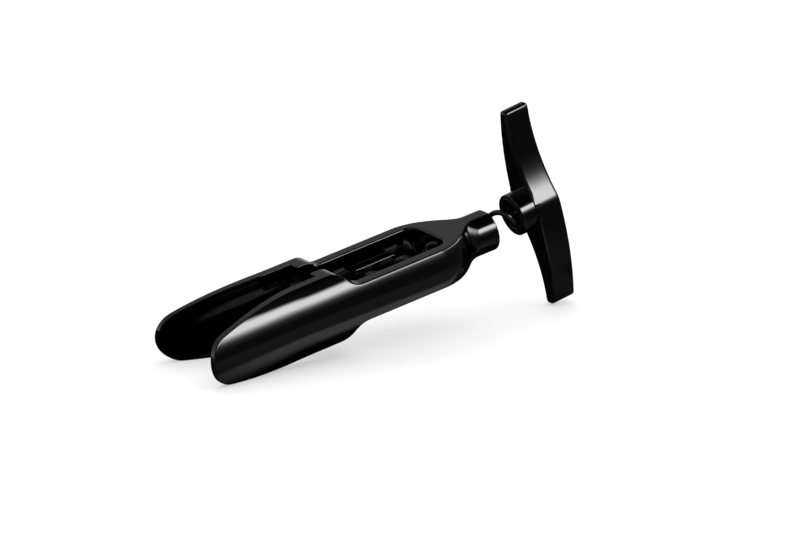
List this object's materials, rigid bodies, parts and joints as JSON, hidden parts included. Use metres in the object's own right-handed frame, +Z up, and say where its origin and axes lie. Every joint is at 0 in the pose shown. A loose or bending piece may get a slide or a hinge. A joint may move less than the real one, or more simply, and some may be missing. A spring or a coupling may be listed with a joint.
{
  "type": "corkscrew",
  "caption": "Two-legged corkscrew: a split frame grips the bottle's neck and guides a long worm, turned and drawn by a curved T-handle.",
  "frame": {"origin": "the middle of the object's box, on the table that it lies on", "axes": "+X from the leg tips to the handle, +Z up from the table, +Y to the left leg; the object lies as it is put down, on both legs and the lower tip of the handle, so its own axis leans up towards +X"},
  "size_m": [0.1712, 0.0408, 0.0802],
  "materials": {
    "frame_plastic": "polished black moulding",
    "handle_plastic": "polished black moulding",
    "ring_plastic": "satin black bearing plastic",
    "worm_coating": "glossy black non-stick coating on steel wire"
  },
  "bodies": {
    "frame": {"frame_left": "frame_plastic", "frame_right": "frame_plastic"},
    "thrust_ring": {"thrust_ring": "ring_plastic"},
    "handle_unit": {"handle": "handle_plastic", "worm_anchor": "ring_plastic", "worm": "worm_coating"}
  },
  "joints": [
    {"name": "worm_slide", "type": "slide", "parent": "frame", "child": "thrust_ring", "axis": [0.9681, 0, 0.2506], "range_m": [-0.0102, 0.1]},
    {"name": "handle_turn", "type": "hinge", "parent": "thrust_ring", "child": "handle_unit", "pos_m": [0.0586, 0, 0.03711], "axis": [0.9681, 0, 0.2506], "continuous": true}
  ]
}
